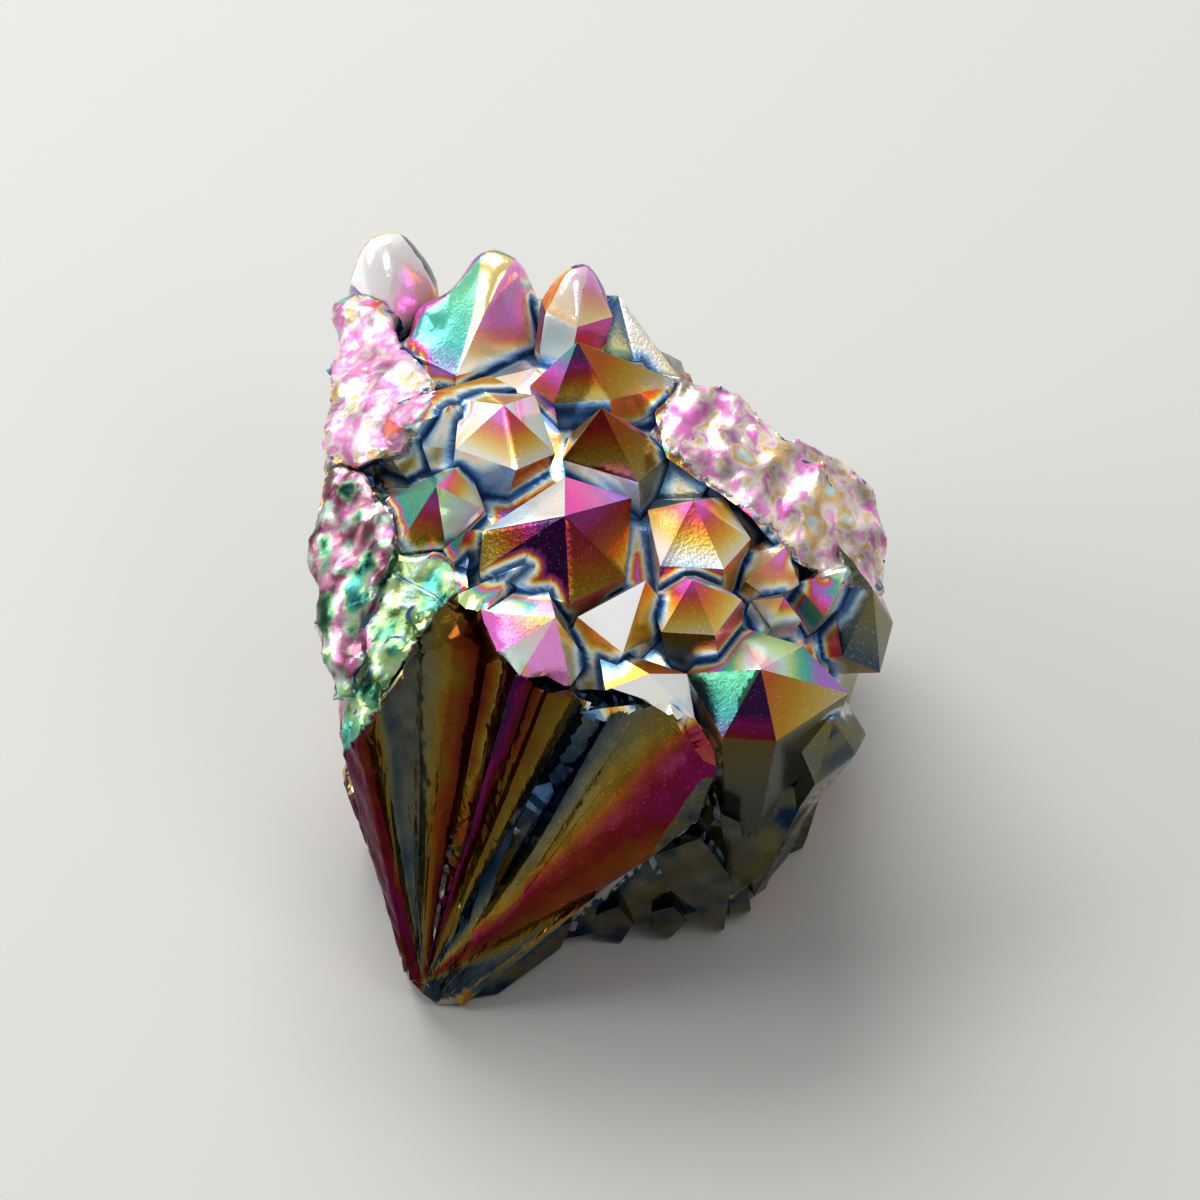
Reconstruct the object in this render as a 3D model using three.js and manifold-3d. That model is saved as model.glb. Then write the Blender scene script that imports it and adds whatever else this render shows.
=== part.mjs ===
// Aura quartz cluster: a chunk broken from a druse and coated with a thin metal film.
// Quartz points crowd a domed crown. Below its front edge the long crystals that carry them
// taper together into one tip, and the chunk rests on its broken base.
//
// Millimetres, +Z up, the viewer in front at -Y. The origin is below the middle, on the ground.
// The cluster is laid out in its display frame, as a viewer looking down at it sees it:
// x runs across, y up the display face and z out of it, towards the viewer.
import * as THREE from 'three';
import { ConvexGeometry } from 'three/addons/geometries/ConvexGeometry.js';
import { mergeVertices } from 'three/addons/utils/BufferGeometryUtils.js';
import Module from 'manifold-3d';

const wasm = await Module();
wasm.setup();

// Driving dimensions
const VIEW_ELEVATION = 42;               // degrees above the horizon, of the display frame's out axis
const CROWN_CENTRE = [-1, -8, 0];        // centre of the ball that the crown's tips lie on
const CROWN_RADIUS = 31;
const VALLEY_DEPTH = 5;                  // from the crown ball down to the valleys between points
const GROUND_LEVEL = -10.5;              // height of the broken base under the display frame's origin
const FRONT_DEPTH = 23;                  // how far the core reaches towards the viewer
const BACK_DEPTH = 9;                    // how far it reaches away
const CORE_WIDTH = 30;                   // how wide it is inside its side walls

// Quartz habit
const PYRAMID_SLOPE = 1.27;              // tangent of the angle between a point's faces and its base
const SHOULDER_SHARE = Math.sqrt(3) / 2; // a hexagon's flat-to-flat width over its corner width
const MINOR_FACE_SETBACK = 0.05;         // every other point face is smaller, by this share of the width
const UNEVENNESS = 0.22;                 // spread of the faces' distances, as a share of the width
const ROOT_LENGTH = 11;                  // of a crown point below its shoulder
const ROOT_SHARE = 0.72;                 // width of a crown point's root over its shoulder's
const FOOT_SHARE = 0.3;                  // the same for a crystal that tapers to a foot

const FULL_TURN = 2 * Math.PI;
const SIDES = 6;
const radians = THREE.MathUtils.degToRad;
const vector = (place) => new THREE.Vector3(...place);

// A repeatable stream of numbers from 0 to 1.
function stream(seed) {
  let state = seed;
  return () => {
    state = (state + 0x6d2b79f5) | 0;
    let t = Math.imul(state ^ (state >>> 15), 1 | state);
    t = (t + Math.imul(t ^ (t >>> 7), 61 | t)) ^ t;
    return ((t ^ (t >>> 14)) >>> 0) / 4294967296;
  };
}

const between = (low, high, share) => low + (high - low) * share;

// Turns the display frame so that its out axis rises at VIEW_ELEVATION.
const displayTurn = new THREE.Matrix4().makeRotationX(radians(90 - VIEW_ELEVATION));
const displayBack = displayTurn.clone().invert();

// How far out the crown ball is, at a place on the display face.
function crownOut(across, up) {
  const [x, y, z] = CROWN_CENTRE;
  const square = CROWN_RADIUS ** 2 - (across - x) ** 2 - (up - y) ** 2;
  return z + Math.sqrt(Math.max(square, 0));
}

// How far out an upright plane is that stands `depth` in front of the display frame's origin.
function frontOut(up, depth) {
  const tilt = radians(VIEW_ELEVATION);
  return (up * Math.sin(tilt) + depth) / Math.cos(tilt);
}

// A closed three.js geometry in the display frame, as a solid in the part's frame.
function solid(geometry) {
  const bare = new THREE.BufferGeometry();
  bare.setAttribute('position', geometry.getAttribute('position').clone());
  if (geometry.index) bare.setIndex(geometry.index.clone());
  const merged = mergeVertices(bare.applyMatrix4(displayTurn), 1e-4);
  const mesh = new wasm.Mesh({
    numProp: 3,
    vertProperties: merged.attributes.position.array,
    triVerts: new Uint32Array(merged.index.array),
  });
  return new wasm.Manifold(mesh);
}

// The convex body inside a set of planes, each [normal, distance from the origin].
function bodyInside(planes) {
  const corners = [];
  const matrix = new THREE.Matrix3();
  planes.forEach(([a, da], i) => planes.slice(i + 1).forEach(([b, db], j) =>
    planes.slice(i + j + 2).forEach(([c, dc]) => {
      matrix.set(a.x, a.y, a.z, b.x, b.y, b.z, c.x, c.y, c.z);
      if (Math.abs(matrix.determinant()) < 1e-6) return;
      const corner = new THREE.Vector3(da, db, dc).applyMatrix3(matrix.invert());
      const inside = planes.every(([n, d]) => n.dot(corner) < d + 1e-6);
      const known = corners.some((other) => other.distanceTo(corner) < 1e-3);
      if (inside && !known) corners.push(corner);
    })));
  return new ConvexGeometry(corners);
}

// One quartz crystal with its point at `tip` and its axis along `axis`, its faces uneven as they grow.
// `steep` scales the point's height and `taper` is how much each side closes in towards the root.
function quartz({ tip, axis, width, length, steep = 1, taper = 4, random }) {
  const slope = Math.atan(PYRAMID_SLOPE * steep);
  const narrowing = radians(taper);
  const turn = random() * FULL_TURN;
  const planes = [[new THREE.Vector3(0, 0, -1), length]];
  for (let i = 0; i < SIDES; i++) {
    const around = turn + i / SIDES * FULL_TURN;
    const [x, y] = [Math.cos(around), Math.sin(around)];
    const reach = SHOULDER_SHARE * width / 2 * (1 + UNEVENNESS * (random() - 0.5));
    const shoulder = reach * Math.tan(slope);
    const setback = (i % 2 ? MINOR_FACE_SETBACK : 0) + UNEVENNESS / 4 * random();
    planes.push([
      new THREE.Vector3(x * Math.cos(narrowing), y * Math.cos(narrowing), -Math.sin(narrowing)),
      reach * Math.cos(narrowing) + shoulder * Math.sin(narrowing),
    ]);
    planes.push([
      new THREE.Vector3(x * Math.sin(slope), y * Math.sin(slope), Math.cos(slope)),
      width * setback,
    ]);
  }
  const upright = new THREE.Quaternion().setFromUnitVectors(new THREE.Vector3(0, 0, 1), axis);
  return bodyInside(planes).applyQuaternion(upright).translate(...tip.toArray());
}

// The axis whose lean across and up the display face is given.
function leaning([across, up]) {
  return new THREE.Vector3(across, up, Math.sqrt(Math.max(1 - across ** 2 - up ** 2, 0.01))).normalize();
}

// Points of the crown, from the back to the front: the tip and the shoulder's corners on the display
// face, in turn; the lean of the axis; the height of the point over its shoulder. A blunt point has a
// second tip, `ridge`. `rise` lifts the tip over the crown ball. A crystal that shows down to its
// foot has the foot's place, the last number being how far it stands in front.
const CROWN_POINTS = [
  { name: 'white cap', tip: [-13.7, 24.4], ridge: [-15, 24], rise: 6, lean: [0, 0.9], height: 3.8,
    shoulder: [[-16.1, 21], [-14.3, 19.9], [-11.3, 21.1]] },
  { name: 'great back point', tip: [-7.2, 23.5], ridge: [-5.9, 22.9], rise: 9, lean: [0.1, 0.9],
    height: 7, shoulder: [[-13.2, 16.7], [-9.5, 14.8], [-3.7, 16.3]] },
  { name: 'pink back point', tip: [-0.9, 22.5], ridge: [-1.9, 22.3], rise: 7, lean: [0.17, 0.87],
    height: 3.6, shoulder: [[-3.9, 20], [-1.5, 18], [0.6, 19.7]] },
  { name: 'grey back point', tip: [1.2, 20.2], rise: -3, lean: [0.35, 0.8], height: 3.6,
    shoulder: [[-0.8, 16.8], [2.4, 15.4], [5.3, 14.7]] },
  { name: 'broad back point', tip: [-1.5, 17], rise: 1.5, lean: [-0.1, 0.88], height: 4.3,
    shoulder: [[-4.7, 14.1], [-2.8, 13.3], [0.9, 13.5], [5.5, 14.3]] },
  { name: 'brown point', tip: [0.1, 12.6], rise: 0.4, lean: [-0.12, 0.82], height: 4.1,
    shoulder: [[-2, 10.9], [-2.5, 9.2], [2.5, 7.7], [4.5, 9.5], [2.7, 11.2]] },
  { name: 'stepped point', tip: [-6.3, 12.8], rise: 0.2, lean: [0.15, 0.67], height: 2.4,
    shoulder: [[-9.2, 13.2], [-9.5, 9.9], [-5.5, 8.5], [-2.9, 9.6], [-4.3, 13.5]] },
  { name: 'long blade', tip: [-11.3, 13.6], ridge: [-12.9, 11.3], rise: 0.6, lean: [-0.3, 0.55], height: 3,
    shoulder: [[-14.5, 12.5], [-15.3, 10], [-13.6, 9.1], [-11.7, 11.2]] },
  { name: 'short blade', tip: [-9.9, 12.8], rise: 0, lean: [-0.15, 0.6], height: 2.4,
    shoulder: [[-11.7, 11.5], [-11.7, 10.1], [-9.3, 9.9]] },
  { name: 'green point', tip: [-10.7, 7.5], rise: 0.4, lean: [-0.1, 0.4], height: 4,
    shoulder: [[-14.4, 6.5], [-13.5, 3.1], [-10.1, 3.4], [-7.5, 5.9], [-8.8, 9.2]] },
  { name: 'small gold point', tip: [-8.8, 4.5], rise: -1.4, lean: [-0.1, 0.5], height: 1.8,
    shoulder: [[-10.3, 3.3], [-9.6, 2.5], [-8.5, 3.1]] },
  { name: 'great middle point', tip: [-2.3, 5.5], rise: 0.8, lean: [0.04, 0.56], height: 3.4,
    shoulder: [[-7.7, 4.5], [-7.9, 1.9], [-2, -0.3], [1.7, 1.5], [2.1, 6.7], [-2.3, 8.1]] },
  { name: 'mirror point', tip: [3, 1.3], rise: 0, lean: [0.35, 0.7], height: 3.6,
    shoulder: [[-1.5, -1.1], [1.5, -3.5], [3.9, -1.9]] },
  { name: 'round gold point', tip: [6, 1.3], rise: 0.2, lean: [-0.1, 0.62], height: 2.4,
    shoulder: [[3.3, 0], [4, -2.1], [7.5, -2.3], [9.3, 0], [6.5, 1.9]] },
  { name: 'pink and blue point', tip: [6.1, 6.5], rise: 0.2, lean: [0.09, 0.76], height: 2.9,
    shoulder: [[3.1, 5.9], [3.9, 2.2], [8.1, 2], [9.9, 4], [8.1, 6.8]] },
  { name: 'small pink point', tip: [12.1, 3.5], rise: 0, lean: [0.29, 0.48], height: 3,
    shoulder: [[9.5, 1.2], [11.2, 0], [13.1, 1]] },
  { name: 'yellow point', tip: [12, 0.2], rise: -0.4, lean: [0.2, 0.4], height: 2.2,
    shoulder: [[9.9, 0], [11.2, -1.8], [12.8, -1.3]] },
  { name: 'teal and pink point', tip: [16.3, 2.1], rise: 0, lean: [0.4, 0.5], height: 2.6,
    shoulder: [[13.3, 0.8], [14.7, -1.1], [17.7, 0.5]] },
  { name: 'grey side point', tip: [17.9, 0.7], rise: 0, lean: [0.6, 0.15], height: 2.6,
    shoulder: [[15.5, -0.3], [15.9, -3.7], [18.4, -4.8], [19.3, -1.5]] },
  { name: 'teal and purple point', tip: [10.5, -4.5], rise: 0.6, lean: [0.05, 0.42], height: 2.8,
    shoulder: [[9, -1.7], [5.6, -4.8], [8, -9], [11.5, -9.2], [16.3, -6.1], [13.3, -3]],
    foot: [9.2, -19, 19] },
  { name: 'grey lower point', tip: [15.3, -7.9], rise: -1, lean: [0.5, -0.05], height: 2.4,
    shoulder: [[13.1, -9.7], [14.1, -12.1], [16.8, -10.1], [17.5, -8.8]],
    foot: [9.8, -17.5, 16] },
  { name: 'small white point', tip: [3.2, -4.8], rise: -0.4, lean: [0.1, 0.3], height: 1.8,
    shoulder: [[3.7, -6.5], [6.2, -7.8], [5.7, -4.8]] },
  { name: 'fan point', tip: [-2.9, -1.1], rise: 0.6, lean: [0.3, 0.27], height: 3.6,
    shoulder: [[-3.7, 1.8], [-7.5, -0.8], [-6.9, -3.7], [-5.2, -4.8], [-1.9, -5.6], [-0.8, -4]] },
  { name: 'pale point', tip: [-5.3, 2.2], rise: -0.6, lean: [-0.1, 0.4], height: 2.4,
    shoulder: [[-9.3, 0.4], [-7.5, -0.7], [-5.1, 0.7]] },
];

// A crystal whose point stands over the shoulder corners as they are seen. A shoulder is the same
// on both sides of its axis, so the corners that can't be seen are those across from the seen ones.
function crownPoint({ tip, ridge, rise, lean, height, shoulder, foot }) {
  const axis = leaning(lean);
  const top = vector([...tip, crownOut(...tip) + rise]);
  const centre = top.clone().addScaledVector(axis, -height);
  const onPlane = ([across, up], level) => {
    const fall = axis.x * (across - top.x) + axis.y * (up - top.y) + level;
    return new THREE.Vector3(across, up, top.z - fall / axis.z);
  };
  const seen = shoulder.map((corner) => onPlane(corner, height));
  const opposite = (corner) => centre.clone().multiplyScalar(2).sub(corner);
  const hidden = seen.slice(shoulder.length - SIDES / 2, SIDES / 2).map(opposite);
  const ring = [...seen, ...hidden];
  const root = centre.clone().addScaledVector(axis, -ROOT_LENGTH);
  if (foot) root.set(foot[0], foot[1], frontOut(foot[1], foot[2]));
  const rootShare = foot ? FOOT_SHARE : ROOT_SHARE;
  const roots = ring.map((corner) => corner.clone().sub(centre).multiplyScalar(rootShare).add(root));
  const tips = ridge ? [top, onPlane(ridge, 0)] : [top];
  return new ConvexGeometry([...tips, ...ring, ...roots]);
}

// The long front crystals: their top corners on the display face with the drop below the crown ball,
// and the place they taper to.
const TOE_DEPTH = 28.7;                  // how far the tip of the chunk stands in front
const TOE_SHARE = 0.2;                   // width of a column's end over its top's
const COLUMN_THICKNESS = 7;
const FRONT_COLUMNS = [
  { name: 'maroon edge', end: [-12.9, -23.4],
    top: [[-17, -8.6, 3.4], [-15.6, -8.2, 2.2], [-14.7, -8, 3.2]] },
  { name: 'olive column', end: [-12.5, -24],
    top: [[-15.3, -8.2, 3.4], [-14.4, -6.6, 1.8], [-12.2, -3.6, 2.2], [-11.4, -3.6, 3.2]] },
  { name: 'slate and gold column', end: [-12, -24.8],
    top: [[-12.6, -4.2, 3.2], [-9.9, -0.6, 2.4], [-9, -2.4, 1.9], [-7, -3.8, 3.2]] },
  { name: 'purple column', end: [-11.4, -25.4],
    top: [[-7.4, -3.7, 3.2], [-5.5, -4.9, 1.5], [-4.4, -5.4, 1.9], [-3.8, -5.8, 3]] },
  { name: 'olive gold column', end: [-11, -25.8],
    top: [[-4.8, -5.4, 2.8], [-3.4, -6, 1.5], [-1.4, -6.4, 2], [-0.3, -6.8, 3.4]] },
  { name: 'rough gold column', end: [-10.2, -26],
    top: [[-1, -7.2, 4], [1, -7.6, 2.6], [2.6, -6.8, 2.1], [3.4, -7.2, 3]] },
  { name: 'red column', end: [-9.4, -26],
    top: [[2, -7.2, 2.8], [4.5, -6.7, 1.3], [7.1, -10.7, 2.2], [6.1, -14.1, 4.4]] },
];

function frontColumn({ end, top }) {
  const corners = top.map(([across, up, drop]) => vector([across, up, crownOut(across, up) - drop]));
  const middle = corners.reduce((sum, corner) => sum.add(corner), new THREE.Vector3())
    .divideScalar(corners.length);
  const foot = vector([...end, frontOut(end[1], TOE_DEPTH)]);
  const feet = corners.map((corner) => corner.clone().sub(middle).multiplyScalar(TOE_SHARE).add(foot));
  const face = [...corners, ...feet];
  const backs = face.map((corner) => corner.clone().add(new THREE.Vector3(0, 0, -COLUMN_THICKNESS)));
  return new ConvexGeometry([...face, ...backs]);
}

// Broken faces below the crown: corners on the display face, the last number being how far in front.
const BREAK_THICKNESS = 8;
const BROKEN_PIECES = [
  { name: 'toe',
    corners: [[-13, -23.2, 27.6], [-12.4, -25.2, 28], [-10.8, -26.7, 28.6], [-9, -26.6, 28.4],
      [-9, -24, 28.2], [-11.4, -22.4, 27.8]] },
  { name: 'tan broken column',
    corners: [[3.5, -16.8, 25], [6.6, -15.6, 26], [8.7, -18.4, 25], [8.2, -21.9, 22], [4.7, -19.2, 24.5]] },
  { name: 'grey strip',
    corners: [[7.9, -14, 25.4], [9.2, -14.6, 25], [10, -20.6, 21], [8.6, -20.9, 21.6]] },
  { name: 'left peg',
    corners: [[-0.3, -20.8, 23.4], [1.2, -20.2, 24], [2.2, -21.4, 23.4], [1.3, -22.8, 22.4],
      [-0.2, -22.4, 22.6]] },
  { name: 'right peg',
    corners: [[3.4, -20.6, 23.6], [4.8, -20.2, 24], [5.8, -21.2, 23.4], [4.6, -22.4, 22.4],
      [3.4, -22, 22.8]] },
  { name: 'under column',
    corners: [[-9.4, -26.4, 28.2], [-6.7, -26, 27.6], [-2.6, -23, 25.4], [-1.8, -21.2, 25.4],
      [-6, -22.6, 27.4]] },
  { name: 'shaded slope',
    corners: [[11.6, -12, 24], [14.2, -12.6, 22], [12.4, -17, 20], [10.2, -19.6, 20.6], [9.6, -16, 23]] },
  { name: 'green plate',
    corners: [[-14.3, 2.3, 15.8], [-10.4, 0, 19.2], [-15, -7.6, 23.6], [-16.8, -9.2, 23.8],
      [-17.4, -4, 19.9], [-16.4, 0.7, 16.4]] },
];

function brokenPiece({ corners }) {
  const face = corners.map(([across, up, depth]) => vector([across, up, frontOut(up, depth)]));
  const backs = face.map((corner) => corner.clone().add(new THREE.Vector3(0, 0, -BREAK_THICKNESS)));
  return new ConvexGeometry([...face, ...backs]);
}

// Rough patches, where the points are broken off or stunted: a crust of small lumps inside an outline
// on the display face, its drop below the crown ball and the width of a lump.
const CRUST_STEP = 1.25;                 // between the crust's corners
const CRUST_SCATTER = 0.7;               // how far each is moved off its grid
const CELLS_PER_MM = 7;                  // fine enough for every corner to have a number of its own
const RAGGED_STEP = 1.5;                 // length of the breaks along a crust's edge
const RAGGED_DEPTH = 0.8;
const CRUST_RELIEF = 0.55;               // height of a lump over its width
const CRUST_THICKNESS = 5.5;
const CRUST_LOWEST = 9;                  // the crown ball counts as this far out where it curves away
const ROUGH_PATCHES = [
  { name: 'right shoulder', drop: 1.2, lump: 2.4,
    outline: [[5.2, 14.4], [8, 14.1], [10.8, 11.7], [14, 10], [18, 7.3], [18.9, 4], [18.2, 0.6],
      [13.3, 2.2], [9.9, 5.4], [6.7, 7.6], [4.4, 9.3], [3.6, 12.4]] },
  { name: 'upper left flank', drop: 1.6, lump: 2.2,
    outline: [[-16.8, 19.4], [-14.6, 19], [-13.2, 16.6], [-10.8, 14.2], [-13, 9.6], [-16, 8.6], [-18, 9.8],
      [-17.8, 15]] },
  { name: 'left edge', drop: 1.8, lump: 2,
    outline: [[-17.9, 9.6], [-15.4, 8], [-13.6, 5.6], [-13.4, 2.6], [-14.4, 1.2], [-15.6, -2], [-16, -6],
      [-17.5, -6.6], [-18.3, -2.6], [-19, 4.4]] },
  { name: 'ledge under the green point', drop: 3, lump: 1.8,
    outline: [[-13.8, 3], [-8.4, 3.4], [-8.6, 0.8], [-10.2, -0.6], [-13.6, -1.6], [-15, 0.6]] },
];

// A number from 0 to 1 that belongs to a cell of a grid.
function cellNumber(column, row, salt) {
  return stream(column * 7349 + row * 9151 + salt * 3571)();
}

// Height of a crust of round lumps, as a share of a lump's width, at a place given in lump widths.
function crustHeight(x, y) {
  let nearest = 1;
  for (let column = Math.floor(x) - 1; column <= Math.floor(x) + 1; column++) {
    for (let row = Math.floor(y) - 1; row <= Math.floor(y) + 1; row++) {
      const middleX = column + cellNumber(column, row, 1);
      const middleY = row + cellNumber(column, row, 2);
      const size = between(0.7, 1.2, cellNumber(column, row, 3));
      nearest = Math.min(nearest, Math.hypot(x - middleX, y - middleY) / size);
    }
  }
  return 1 - nearest ** 1.5;
}

function flatPiece(outline, thickness) {
  const shape = new THREE.Shape(outline.map(([x, y]) => new THREE.Vector2(x, y)));
  return new THREE.ExtrudeGeometry(shape, { depth: thickness, bevelEnabled: false, steps: 1 });
}

// An outline with breaks along its edges.
function ragged(outline, random) {
  return outline.flatMap(([x, y], i) => {
    const [nextX, nextY] = outline[(i + 1) % outline.length];
    const breaks = Math.max(1, Math.round(Math.hypot(nextX - x, nextY - y) / RAGGED_STEP));
    return Array.from({ length: breaks }, (_, k) => {
      const depth = k ? RAGGED_DEPTH : 0;
      return [
        between(x, nextX, k / breaks) + depth * (random() - 0.5),
        between(y, nextY, k / breaks) + depth * (random() - 0.5),
      ];
    });
  });
}

function roughPatch({ outline, drop, lump }, seed) {
  const field = new THREE.Box2().setFromPoints(outline.map((corner) => new THREE.Vector2(...corner)));
  const { x: width, y: height } = field.getSize(new THREE.Vector2());
  const middle = field.getCenter(new THREE.Vector2());
  const columns = Math.ceil(width / CRUST_STEP);
  const rows = Math.ceil(height / CRUST_STEP);
  const crust = new THREE.BoxGeometry(width, height, CRUST_THICKNESS, columns, rows, 1);
  crust.translate(middle.x, middle.y, 0);
  const places = crust.getAttribute('position');
  for (let i = 0; i < places.count; i++) {
    const column = Math.round(places.getX(i) * CELLS_PER_MM);
    const row = Math.round(places.getY(i) * CELLS_PER_MM);
    const x = places.getX(i) + CRUST_SCATTER * (cellNumber(column, row, 4) - 0.5);
    const y = places.getY(i) + CRUST_SCATTER * (cellNumber(column, row, 5) - 0.5);
    const relief = lump * CRUST_RELIEF * crustHeight(x / lump, y / lump);
    const face = Math.max(crownOut(x, y), CRUST_LOWEST) - drop - lump * CRUST_RELIEF + relief;
    places.setXYZ(i, x, y, places.getZ(i) > 0 ? face : face - CRUST_THICKNESS);
  }
  const edge = flatPiece(ragged(outline, stream(seed)), 2 * CROWN_RADIUS).translate(0, 0, -CROWN_RADIUS);
  return solid(crust).intersect(solid(edge));
}

// Small points that cover the sides that slope away: a sheet from a corner along two edges, in the
// display frame, the way its points face, and how many stand in each row.
const DRUSE_SHEETS = [
  { name: 'right back slope', corner: [6.8, 13.6, 20], along: [10, -5.9, 0], down: [0, 0, -28],
    facing: [0.55, 0.83, 0], columns: 4, rows: 7, width: [4.4, 6.6], seed: 21 },
  { name: 'back brow', corner: [-12, 18.2, 3], along: [15, -1, 0], down: [0, -0.4, -5],
    facing: [0, 0.85, -0.5], columns: 4, rows: 2, width: [4, 6], seed: 33 },
  { name: 'left brow', corner: [-18, 16.6, 5], along: [-1, -16, 15], down: [0.4, 0, -5],
    facing: [-1, 0.1, -0.2], columns: 5, rows: 2, width: [3.6, 5.2], seed: 27 },
  { name: 'shards on the left edge', corner: [-10.8, -0.2, 26.4], along: [-5, -7.4, -1.2],
    down: [-1, 0.6, 0], facing: [-0.4, 0.3, 0.85], columns: 7, rows: 1, width: [1.3, 2.2], seed: 41 },
];
const DRUSE_SWAY = 0.7;                  // how far the points lean away from each other
const DRUSE_LENGTH = 2.4;                // of a point, in its widths

function druse({ corner, along, down, facing, columns, rows, width, seed }) {
  const random = stream(seed);
  const points = [];
  for (let i = 0; i < columns * rows; i++) {
    const share = (i % columns + random()) / columns;
    const fall = (Math.floor(i / columns) + random()) / rows;
    const tip = vector(corner).addScaledVector(vector(along), share).addScaledVector(vector(down), fall);
    const sway = [random() - 0.5, random() - 0.5, random() - 0.5];
    const axis = vector(facing).addScaledVector(vector(sway), DRUSE_SWAY).normalize();
    const size = between(...width, random());
    points.push(quartz({ tip, axis, width: size, length: DRUSE_LENGTH * size, random }));
  }
  return points;
}

// Columns that make the walls at the sides and the back. A wall runs from its first to its last column;
// heads and feet are places in the part's own directions, measured from the display frame's origin.
const WALLS = [
  { name: 'left wall', heads: [[-13.4, -18, 13.5], [-13.4, 7, 15.5]],
    feet: [[-9.4, -19.5, -16], [-12.6, 6, -16]], columns: 6, width: [7.4, 9.4], seed: 5 },
  { name: 'left foot', heads: [[-14.6, -14, 1], [-14.6, 5, 3]], feet: [[-11, -13, -16], [-12, 4, -16]],
    columns: 4, width: [5, 7.4], seed: 6 },
  { name: 'back wall', heads: [[-11.5, 9.6, 16.5], [3, 9.4, 12]], feet: [[-9, 7, -16], [2, 7, -16]],
    columns: 4, width: [8, 10], seed: 8 },
  { name: 'back foot', heads: [[-12, 12.6, 4], [7, 12.4, 2]], feet: [[-9, 9, -16], [5, 9, -16]],
    columns: 5, width: [5.4, 7.6], seed: 9 },
  { name: 'right back wall', heads: [[6.5, 9, 5], [13, 7, 1]], feet: [[5, 7, -16], [10.5, 4, -16]],
    columns: 3, width: [6.5, 8.5], seed: 13 },
  { name: 'right wall', heads: [[14.2, -14, 12], [13.8, 4, 3]], feet: [[9.4, -12, -16], [10.6, 3, -16]],
    columns: 5, width: [6.8, 8.8], seed: 17 },
];
const WALL_PLAY = 0.3;                   // how far a column strays along its wall, in its spacings
const WALL_STEPS = 3;                    // spread of the columns' heights
const WALL_STEEP = 0.8;
const WALL_TAPER = 1.5;

function wall({ heads, feet, columns, width, seed }) {
  const random = stream(seed);
  return Array.from({ length: columns }, (_, i) => {
    const share = (i + WALL_PLAY * random()) / (columns - 1 + WALL_PLAY);
    const tip = vector(heads[0]).lerp(vector(heads[1]), share);
    const foot = vector(feet[0]).lerp(vector(feet[1]), share);
    tip.z += WALL_STEPS * (random() - 0.5);
    const axis = tip.clone().sub(foot);
    const length = axis.length();
    const column = quartz({ tip, axis: axis.normalize(), width: between(...width, random()), length,
      steep: WALL_STEEP, taper: WALL_TAPER, random });
    return column.applyMatrix4(displayBack);
  });
}

// The core under the crown, seen along the display frame's out axis.
const CORE_OUTLINE = [
  [-16.6, 19.2], [-17.8, 12], [-18.6, 4.4], [-17.8, -4], [-16.2, -9.6], [-12.5, -22], [-10, -24],
  [7, -20.5], [11, -18], [15.4, -9], [18, -1], [16.4, 5.2], [5, 12.4], [0, 20], [-14, 22],
];
const BALL_DETAIL = 4;
const AMPLE = 200;                       // reaches past the whole cluster

function core() {
  const block = flatPiece(CORE_OUTLINE, 2 * CROWN_RADIUS);
  const ball = new THREE.IcosahedronGeometry(CROWN_RADIUS - VALLEY_DEPTH, BALL_DETAIL);
  const slab = new THREE.BoxGeometry(CORE_WIDTH, FRONT_DEPTH + BACK_DEPTH, AMPLE);
  slab.translate(0, (BACK_DEPTH - FRONT_DEPTH) / 2, 0).applyMatrix4(displayBack);
  return solid(block.translate(0, 0, -CROWN_RADIUS))
    .intersect(solid(ball.translate(...CROWN_CENTRE)))
    .intersect(solid(slab));
}

// Joins everything, cuts the base flat and sets the origin under the middle.
function cluster() {
  const pieces = [
    core(),
    ...CROWN_POINTS.map((point) => solid(crownPoint(point))),
    ...FRONT_COLUMNS.map((column) => solid(frontColumn(column))),
    ...BROKEN_PIECES.map((piece) => solid(brokenPiece(piece))),
    ...ROUGH_PATCHES.map(roughPatch),
    ...DRUSE_SHEETS.flatMap(druse).map(solid),
    ...WALLS.flatMap(wall).map(solid),
  ];
  const joined = pieces.reduce((whole, piece) => whole.add(piece));
  const ground = new THREE.BoxGeometry(AMPLE, AMPLE, AMPLE).translate(0, 0, GROUND_LEVEL - AMPLE / 2);
  const cut = joined.subtract(solid(ground.applyMatrix4(displayBack)));
  const { min, max } = cut.boundingBox();
  const shift = [-(min[0] + max[0]) / 2, -(min[1] + max[1]) / 2, -min[2]];
  return { body: cut.translate(shift), shift };
}

// The outer skin of a body. Pockets that the crystals close off between them are filled.
function outerSkin(body) {
  const { vertProperties, triVerts } = body.getMesh();
  const skinOf = Array.from({ length: vertProperties.length / 3 }, (_, i) => i);
  const skin = (i) => {
    while (skinOf[i] !== i) i = skinOf[i] = skinOf[skinOf[i]];
    return i;
  };
  const triangles = Array.from({ length: triVerts.length / 3 }, (_, i) => triVerts.slice(3 * i, 3 * i + 3));
  triangles.forEach(([a, b, c]) => {
    skinOf[skin(a)] = skin(b);
    skinOf[skin(b)] = skin(c);
  });
  const sizes = new Map();
  triangles.forEach(([a]) => sizes.set(skin(a), (sizes.get(skin(a)) ?? 0) + 1));
  const [outer] = [...sizes].sort((one, other) => other[1] - one[1])[0];
  const geometry = new THREE.BufferGeometry();
  geometry.setAttribute('position', new THREE.BufferAttribute(vertProperties, 3));
  geometry.setIndex(triangles.filter(([a]) => skin(a) === outer).flatMap((corners) => [...corners]));
  geometry.computeVertexNormals();
  return geometry;
}

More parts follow.
